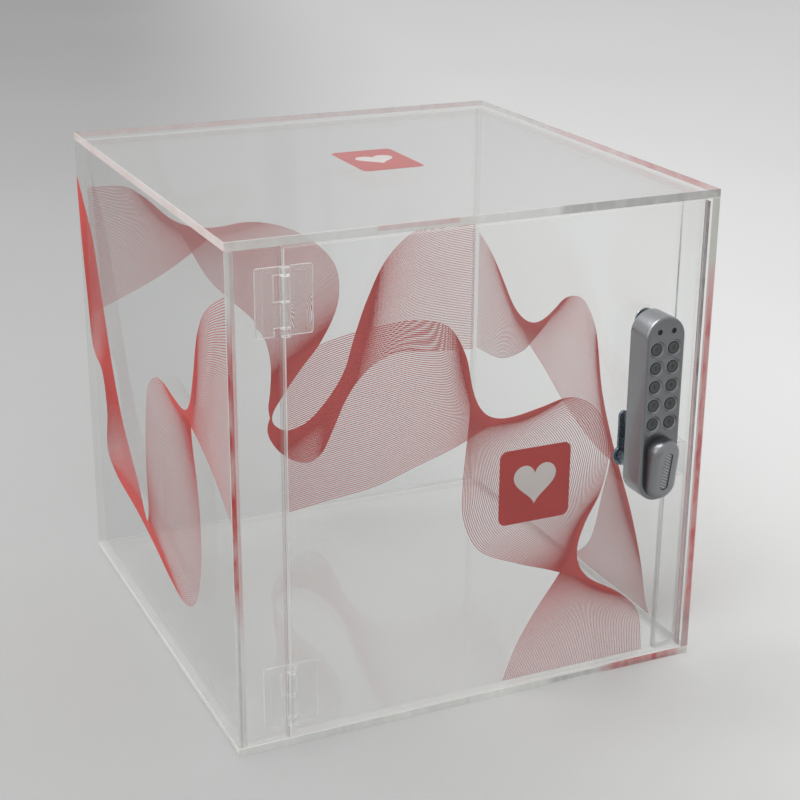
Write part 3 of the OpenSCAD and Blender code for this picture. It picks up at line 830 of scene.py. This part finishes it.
def lock_case():
    """The long case, drawn as a solid block, with its round dishes and button bores, light holes and
    the shallow seat under the knob."""
    low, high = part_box("lock_case")
    middle = Vector(((low.x + high.x) / 2, high.y, 0))
    width = high.x - low.x
    spindle = centre("spindle")
    radius = settings().lock.case_round
    bm = bmesh.new()
    face = flat_pill(bm, width, spindle.z - low.z, high.z - spindle.z, middle + UP * spindle.z, 96)
    depth = high.y - low.y
    face = pull(bm, face, depth - radius)
    round_off(bm, face, radius, radius, 5)

    cutter = bmesh.new()
    front = low.y
    for digit in DIGITS:
        at = centre("button_" + digit)
        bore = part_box("button_" + digit)[1].y - front + 1.6 * MM
        at.y = front
        profile = [(0, 0.5 * MM), (6.5 * MM, 0.5 * MM), (6.3 * MM, 0.05 * MM), (5.95 * MM, -0.18 * MM),
                   (5.6 * MM, -0.65 * MM), (5.3 * MM, -1.05 * MM), (4.75 * MM, -1.15 * MM),
                   (4.7 * MM, -bore), (0, -bore)]
        part = bmesh.new()
        lathe(part, profile, at, 40)
        join_into(cutter, part)
    windows_low, windows_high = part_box("light_windows")
    for x in (windows_low.x, windows_high.x):
        inward = 1 if x == windows_low.x else -1
        at = Vector((x + inward * (windows_high.z - windows_low.z) / 2, front, centre("light_windows").z))
        part = bmesh.new()
        lathe(part, [(0, 0.5 * MM), (2.2 * MM, 0.5 * MM), (1.95 * MM, -0.1 * MM), (1.75 * MM, -0.5 * MM),
                     (1.7 * MM, -1.6 * MM), (0, -1.6 * MM)], at, 32)
        join_into(cutter, part)
    knob_low, knob_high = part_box("knob")
    margin = 1.7 * MM
    part = bmesh.new()
    seat = flat_pill(part, knob_high.x - knob_low.x + 2 * margin, spindle.z - knob_low.z + margin,
                     knob_high.z - spindle.z + margin,
                     Vector((spindle.x, front + 0.55 * MM, spindle.z)), 64)
    seat = pull(part, seat, 0.45 * MM)
    bmesh.ops.recalc_face_normals(part, faces=part.faces)
    bmesh.ops.inset_region(part, faces=[seat], thickness=0.35 * MM, use_even_offset=True, use_outset=True)
    seat = pull(part, seat, 1.5 * MM)
    join_into(cutter, part)
    bm = cut_from(bm, cutter)
    return place_piece(bm, "keypad_lock_case", "door", [bpy.data.materials["case_metal"]],
                       ["lock_case"], sharp=math.radians(38))


def join_into(target, part):
    """Adds a closed part to target and frees it."""
    mesh = bpy.data.meshes.new("part")
    part.to_mesh(mesh)
    part.free()
    target.from_mesh(mesh)
    bpy.data.meshes.remove(mesh)


def knob_face():
    """Place of the knob's slanting front, in line with the spindle, with its turn."""
    look = settings().lock
    spindle = centre("spindle")
    at = Vector((spindle.x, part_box("lock_case")[0].y - 0.4 * MM - look.knob_stand, spindle.z))
    return Matrix.Translation(at) @ Matrix.Rotation(look.knob_slant, 4, "X")


def lock_knob():
    """The turning knob: a narrow foot, a flaring side and a smooth crown with a seat for its insert.
    It is drawn with a level front, then leant over so that it stands out further at the top."""
    look = settings().lock
    low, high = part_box("knob")
    spindle = centre("spindle")
    seat_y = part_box("lock_case")[0].y + 0.5 * MM
    front_y = knob_face().translation.y
    at = Vector((spindle.x, seat_y, spindle.z))
    width = high.x - low.x
    down, up = spindle.z - low.z, high.z - spindle.z
    radius = look.knob_round
    foot, flare = 1.6 * MM, 0.4 * MM
    bm = bmesh.new()
    face = flat_pill(bm, width - 2 * foot, down - foot, up - foot, at, 96)
    face = pull(bm, face, foot)
    bmesh.ops.recalc_face_normals(bm, faces=bm.faces)
    bmesh.ops.inset_region(bm, faces=[face], thickness=foot, use_even_offset=True, use_outset=True)
    face = step_in(bm, face, 0.0001 * MM, flare)
    face = pull(bm, face, seat_y - front_y - foot - flare - radius)
    face = round_off(bm, face, radius * 1.1, radius, 12)
    insert_low, insert_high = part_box("knob_insert")
    seat = (width - 2.2 * radius - (insert_high.x - insert_low.x)) / 2 - 0.1 * MM
    face = step_in(bm, face, seat, 0.0)
    face = step_in(bm, face, 0.1 * MM, -1.65 * MM)
    for vert in bm.verts:
        share = (seat_y - vert.co.y) / (seat_y - front_y)
        vert.co.y -= share * math.tan(look.knob_slant) * (vert.co.z - spindle.z)
    return place_piece(bm, "turning_knob", "knob", [bpy.data.materials["knob_metal"]],
                       ["knob"], sharp=math.radians(38))


def knob_insert():
    """A plain plate with fine slanting ribs."""
    low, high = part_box("knob_insert")
    middle = (low + high) / 2
    width = high.x - low.x
    height = (high.z - low.z) / math.cos(settings().lock.knob_slant)
    bm = bmesh.new()
    face = flat_pill(bm, width, height / 2, height / 2, Vector((0, 0.5 * MM, 0)), 48)
    face = pull(bm, face, 0.4 * MM)
    round_off(bm, face, 0.3 * MM, 0.15 * MM, 3)
    for made in bm.faces:
        made.material_index = 0
    plate = set(bm.faces)
    ribs = 12
    for rib in range(ribs):
        z = (rib - (ribs - 1) / 2) * (height - 7 * MM) / (ribs - 1)
        turn = Matrix.Rotation(math.radians(32), 4, "Y")
        size = Matrix.Diagonal((width * 0.62, 0.6 * MM, 1.1 * MM, 1))
        made = bmesh.ops.create_cube(bm, size=1.0, matrix=Matrix.Translation((0, 0, z)) @ turn @ size)
        edges = list({e for v in made["verts"] for e in v.link_edges})
        bmesh.ops.bevel(bm, geom=edges, offset=0.2 * MM, offset_type="OFFSET", segments=2, profile=0.5,
                        affect="EDGES", material=-1)
    for made in set(bm.faces) - plate:
        made.material_index = 1
    lean = Matrix.Translation(middle) @ Matrix.Rotation(settings().lock.knob_slant, 4, "X")
    bmesh.ops.transform(bm, matrix=lean, verts=bm.verts)
    materials = [bpy.data.materials["insert_grey"], bpy.data.materials["insert_rib"]]
    return place_piece(bm, "ribbed_insert", "knob", materials, ["knob_insert"])


def raised_digit(digit, height, at, thickness):
    """A digit that faces the front, as a closed mesh centred on at."""
    curve = bpy.data.curves.new("digit", "FONT")
    curve.body = digit
    curve.size = height * 1.35
    curve.extrude = thickness / 2
    curve.resolution_u = 4
    curve.align_x = "CENTER"
    curve.align_y = "CENTER"
    drawn = bpy.data.objects.new("digit", curve)
    bpy.context.scene.collection.objects.link(drawn)
    shown = drawn.evaluated_get(bpy.context.evaluated_depsgraph_get())
    bm = bmesh.new()
    bm.from_mesh(shown.to_mesh())
    shown.to_mesh_clear()
    bpy.data.objects.remove(drawn)
    bpy.data.curves.remove(curve)
    bmesh.ops.remove_doubles(bm, verts=bm.verts, dist=1e-6)
    bmesh.ops.transform(bm, matrix=Matrix.Translation(at) @ Matrix.Rotation(math.radians(90), 4, "X"),
                        verts=bm.verts)
    return bm


def keypad_button(digit):
    """A cap with a raised rim, a hollow face and its digit."""
    node = "button_" + digit
    low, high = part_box(node)
    at = centre(node)
    at.y = low.y
    bm = bmesh.new()
    cap = 4.3 * MM
    lathe(bm, [(0, -0.45 * MM), (1.9 * MM, -0.42 * MM), (2.7 * MM, -0.25 * MM), (3.1 * MM, -0.03 * MM),
               (3.4 * MM, 0.0), (cap - 0.35 * MM, -0.08 * MM), (cap - 0.08 * MM, -0.3 * MM),
               (cap, -0.6 * MM), (cap, low.y - high.y), (0, low.y - high.y)], at, 40)
    for face in bm.faces:
        face.material_index = 0
    figure = raised_digit(digit, 3.0 * MM, at + Vector((0, 0.40 * MM, 0)), 0.2 * MM)
    for face in figure.faces:
        face.material_index = 1
    join_into(bm, figure)
    materials = [bpy.data.materials["button_cap"], bpy.data.materials["button_digit"]]
    return place_piece(bm, "keypad_" + node, node, materials, [node])


def indicator_windows():
    """Two dark domed light pipes."""
    low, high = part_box("light_windows")
    bm = bmesh.new()
    radius = (high.z - low.z) / 2
    for x in (low.x + radius, high.x - radius):
        part = bmesh.new()
        lathe(part, [(0, -0.55 * MM), (radius * 0.5, -0.62 * MM), (radius * 0.85, -0.85 * MM),
                     (radius * 0.96, -1.2 * MM), (radius * 0.96, low.y - high.y), (0, low.y - high.y)],
              Vector((x, low.y, (low.z + high.z) / 2)), 28)
        join_into(bm, part)
    return place_piece(bm, "indicator_windows", "door", [bpy.data.materials["window_dark"]],
                       ["light_windows"])


# ---------------------------------------------------------------- operators


class DONATIONBOX_OT_materials(bpy.types.Operator):
    """Make the finishes that the pieces share"""

    bl_idname = "donationbox.materials"
    bl_label = "Finishes"

    def execute(self, context):
        look = settings()
        clear_acrylic("clear_acrylic_face")
        clear_acrylic("dusty_acrylic_face", milk_and_painted_light=PAINTED_LIGHT_SHARE)
        clear_acrylic("small_acrylic_face", small=True)
        # painted highlight: a faint pale cover on each edge that has no look of its own
        sheet_edge("clear_acrylic_edge", tuple(look.sheets.edge_painted_highlight), 0.22)
        moulded_clear()
        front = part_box("lock_case")[0].y
        # painted reflections: the case's front face darker, its rounded edge and sides lighter
        satin_metal("case_metal", front + 0.1 * MM, front + 1.6 * MM, 0.90, 1.80)
        # painted light: the knob's crown lighter, and painted shade darkening its side towards the seat in
        # the case
        satin_metal("knob_metal", front - 7.0 * MM, front - 1.5 * MM, 1.25, 0.55)
        plated_steel()
        plated_steel("dull_blue_steel", 0.34)
        printed_ink("red_ink", look.inks.red)
        printed_ink("solid_red_ink", look.inks.solid_red)
        printed_ink("white_ink", look.inks.white)
        plain_plastic("button_cap", look.lock.cap, 0.42)
        plain_plastic("button_digit", shade(look.lock.cap, 0.25), 0.5)
        plain_plastic("insert_grey", (0.07, 0.075, 0.078), 0.38)
        plain_plastic("insert_rib", (0.36, 0.37, 0.38), 0.35)
        plain_plastic("window_dark", (0.012, 0.012, 0.014), 0.12, coat=0.6)
        plain_plastic("gasket_rubber", (0.035, 0.035, 0.036), 0.7)
        plain_plastic("tray_black", (0.03, 0.03, 0.032), 0.5)
        circuit_green()
        cell_sleeve()
        copper_winding()
        return {"FINISHED"}


class DONATIONBOX_OT_stage(bpy.types.Operator):
    """Lay the floor and set the lamps and the camera"""

    bl_idname = "donationbox.stage"
    bl_label = "Stage"

    def execute(self, context):
        look = settings().stage
        bm = bmesh.new()
        bmesh.ops.create_grid(bm, x_segments=24, y_segments=24, size=14.0)
        mesh = bpy.data.meshes.new("floor")
        bm.to_mesh(mesh)
        bm.free()
        mesh.materials.append(self.floor_material(look))
        floor = bpy.data.objects.new("floor", mesh)
        context.scene.collection.objects.link(floor)
        self.lamps(context, look)
        self.camera(context, look)
        context.scene.view_settings.view_transform = "Standard"
        return {"FINISHED"}

    def floor_material(self, look):
        made = new_material("paper_floor")
        tree = made.node_tree
        place = add_node(tree, "ShaderNodeTexCoord").outputs["Object"]
        split = add_node(tree, "ShaderNodeSeparateXYZ", {"Vector": place})
        # painted light: the floor darker towards the left and back, lighter towards the right and front
        lean = maths(tree, "MULTIPLY", split.outputs["Y"], -0.25)
        across = ramp(tree, maths(tree, "ADD", split.outputs["X"], lean), -0.22, 0.62, smooth=True)
        fibre = noise(tree, 300.0, 2.0)
        cloud = noise(tree, 1.3, 2.0)
        base = blend_colours(tree, across, shade(look.floor, 0.69), shade(look.floor, 1.27))
        base = blend_colours(tree, ramp(tree, cloud, 0.3, 0.7, 0.0, 0.12), base, shade(look.floor, 1.0))
        surface = add_node(tree, "ShaderNodeBsdfPrincipled", {
            "Base Color": base, "Roughness": 0.75, "Specular IOR Level": 0.25,
            "Normal": bump(tree, fibre, 0.0002, 0.1)}).outputs["BSDF"]
        return finish_material(made, surface)

    def lamps(self, context, look):
        world = bpy.data.worlds.new("even_light")
        context.scene.world = world
        world.use_nodes = True
        tree = world.node_tree
        tree.nodes.clear()
        light = add_node(tree, "ShaderNodeBackground", {"Color": (1.0, 1.0, 0.995, 1), "Strength": look.sky})
        add_node(tree, "ShaderNodeOutputWorld", {"Surface": light.outputs["Background"]})
        for name, place, size, power in (
                ("key", Vector((-0.9, 0.5, 2.2)), 1.5, look.key),
                ("side", Vector((-2.2, 0.1, 1.0)), 1.0, look.key * 0.22)):
            lamp = bpy.data.lights.new(name, "AREA")
            lamp.shape = "SQUARE"
            lamp.size = size
            lamp.energy = power
            made = bpy.data.objects.new(name, lamp)
            made.location = place
            aim = Vector((0, 0, 0.15)) - place
            made.rotation_euler = aim.to_track_quat("-Z", "Y").to_euler()
            context.scene.collection.objects.link(made)

    def camera(self, context, look):
        camera = bpy.data.cameras.new("camera")
        camera.lens = look.lens
        camera.sensor_width = 36.0
        made = bpy.data.objects.new("camera", camera)
        forward = Vector((math.sin(look.azimuth) * math.cos(look.elevation),
                          math.cos(look.azimuth) * math.cos(look.elevation), -math.sin(look.elevation)))
        level = Vector((math.cos(look.azimuth), -math.sin(look.azimuth), 0))
        upright = level.cross(forward)
        right = level * math.cos(look.roll) + upright * math.sin(look.roll)
        up = right.cross(forward)
        turn = Matrix((right, up, -forward)).transposed().to_4x4()
        made.matrix_world = Matrix.Translation(look.eye) @ turn
        context.scene.collection.objects.link(made)
        context.scene.camera = made


class DONATIONBOX_OT_sheets(bpy.types.Operator):
    """Build the acrylic sheets of the cabinet and the door"""

    bl_idname = "donationbox.sheets"
    bl_label = "Acrylic sheets"

    def execute(self, context):
        looks = painted_edge_looks()
        for node in CABINET_SHEETS:
            acrylic_sheet(node, "cabinet", looks)
        acrylic_sheet("door_panel", "door", looks)
        return {"FINISHED"}


class DONATIONBOX_OT_hinges(bpy.types.Operator):
    """Build the two clear leaf hinges and their pins"""

    bl_idname = "donationbox.hinges"
    bl_label = "Hinges"

    def execute(self, context):
        clear = bpy.data.materials["moulded_clear"]
        for place in ("upper", "lower"):
            for leaf, body in (("fixed_leaf", "cabinet"), ("door_leaf", "door"), ("pin", "cabinet")):
                node = f"{place}_hinge_{leaf}"
                bm = solid_copy(node, 0.35 * MM)
                place_piece(bm, f"{place}_{leaf}_moulding", body, [clear], [node])
        return {"FINISHED"}


class DONATIONBOX_OT_lock(bpy.types.Operator):
    """Build the lock case, its windows, the knob and the insert"""

    bl_idname = "donationbox.lock"
    bl_label = "Lock"

    def execute(self, context):
        lock_case()
        indicator_windows()
        lock_knob()
        knob_insert()
        return {"FINISHED"}


class DONATIONBOX_OT_buttons(bpy.types.Operator):
    """Build the ten keypad buttons"""

    bl_idname = "donationbox.buttons"
    bl_label = "Buttons"

    def execute(self, context):
        for digit in DIGITS:
            keypad_button(digit)
        return {"FINISHED"}


class DONATIONBOX_OT_fittings(bpy.types.Operator):
    """Round the steel fittings inside the door, and finish the pieces hidden in the lock"""

    bl_idname = "donationbox.fittings"
    bl_label = "Fittings"

    SEEN = (("lock_barrel", "door"), ("barrel_nut", "door"), ("fixing_screw", "door"),
            ("fixing_washer", "door"), ("spindle", "knob"), ("cam", "knob"), ("cam_washer", "knob"),
            ("cam_screw", "knob"))
    DULL = ("lock_barrel", "barrel_nut", "cam")
    HIDDEN = {
        "gasket_rubber": ("lock_gasket", "keypad_mat"),
        "plated_steel": ("lock_back_plate", "back_plate_screws", "battery_contacts", "latch_collar",
                         "solenoid_plunger"),
        "circuit_green": ("circuit_board",),
        "tray_black": ("battery_tray",),
        "cell_sleeve": ("batteries",),
        "copper_winding": ("latch_solenoid",),
    }

    def execute(self, context):
        for node, body in self.SEEN:
            name = "dull_blue_steel" if node in self.DULL else "plated_steel"
            place_piece(solid_copy(node, 0.22 * MM), node + "_turned", body,
                        [bpy.data.materials[name]], [node])
        for material, nodes in self.HIDDEN.items():
            for node in nodes:
                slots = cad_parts[node].material_slots
                for slot in slots:
                    slot.material = bpy.data.materials[material]
        return {"FINISHED"}


class DONATIONBOX_OT_waves(bpy.types.Operator):
    """Print the fine-line waves on the side, back and door sheets"""

    bl_idname = "donationbox.waves"
    bl_label = "Printed waves"

    def execute(self, context):
        left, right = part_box("left_panel"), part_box("right_panel")
        back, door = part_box("back_panel"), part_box("door_panel")
        wave_lines("left_wave_print", *self.paired(LEFT_WAVE), on_side(left[0].x),
                   sheet_limits("left_panel", (1, 2)), "cabinet")
        wave_lines("back_wave_print", *self.paired(BACK_WAVE), on_front(back[0].y),
                   sheet_limits("back_panel", (0, 2)), "cabinet")
        wave_lines("right_wave_print", *self.paired(RIGHT_WAVE), on_side(right[1].x),
                   sheet_limits("right_panel", (1, 2)), "cabinet")
        wave_lines("door_wave_print", *self.paired(DOOR_WAVE), on_front(door[1].y),
                   sheet_limits("door_panel", (0, 2)), "door")
        return {"FINISHED"}

    def paired(self, sides):
        """Both sides as lists of the same length, so that each point has its partner."""
        length = min(len(side) for side in sides)
        return [[Vector((*point, 0)) for point in self.even(side, length)] for side in sides]

    def even(self, side, length):
        if len(side) == length:
            return side
        path = path_through([Vector((*p, 0)) for p in side], 12)
        return [tuple(path[round(i * (len(path) - 1) / (length - 1))][:2]) for i in range(length)]


class DONATIONBOX_OT_emblems(bpy.types.Operator):
    """Print the heart emblems on the door and the top"""

    bl_idname = "donationbox.emblems"
    bl_label = "Emblems"

    def execute(self, context):
        size = settings().inks.emblem
        across, height = DOOR_EMBLEM_AT
        at = Vector((across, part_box("door_panel")[1].y, height))
        emblem("door_emblem", "door", size, size, Matrix.Translation(at))
        at = Vector((*TOP_EMBLEM_AT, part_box("top_panel")[0].z))
        width, length = TOP_EMBLEM_SHAPE
        flat = Matrix.Translation(at) @ Matrix.Rotation(math.radians(-90), 4, "X")
        emblem("top_emblem", "cabinet", size * width, size * length, flat)
        return {"FINISHED"}


class DONATIONBOX_PT_panel(bpy.types.Panel):
    """Steps that build the donation box"""

    bl_label = "Donation Box"
    bl_space_type = "VIEW_3D"
    bl_region_type = "UI"
    bl_category = "Donation Box"

    def draw(self, context):
        for step in STEPS:
            self.layout.operator(step.bl_idname)
        for group in (settings().sheets, settings().inks, settings().lock, settings().stage):
            box = self.layout.box()
            for key in group.__annotations__:
                box.prop(group, key)


STEPS = (DONATIONBOX_OT_materials, DONATIONBOX_OT_stage, DONATIONBOX_OT_sheets, DONATIONBOX_OT_hinges,
         DONATIONBOX_OT_lock, DONATIONBOX_OT_buttons, DONATIONBOX_OT_fittings, DONATIONBOX_OT_waves,
         DONATIONBOX_OT_emblems)
CLASSES = (DonationBoxSheets, DonationBoxPrint, DonationBoxLock, DonationBoxStage, DonationBoxSettings,
           *STEPS, DONATIONBOX_PT_panel)


def register():
    for made in CLASSES:
        bpy.utils.register_class(made)
    bpy.types.Scene.donation_box = bpy.props.PointerProperty(type=DonationBoxSettings)


def unregister():
    del bpy.types.Scene.donation_box
    for made in reversed(CLASSES):
        bpy.utils.unregister_class(made)


def main():
    register()
    for step in STEPS:
        group, name = step.bl_idname.split(".")
        getattr(getattr(bpy.ops, group), name)()


if __name__ == "__main__":
    main()
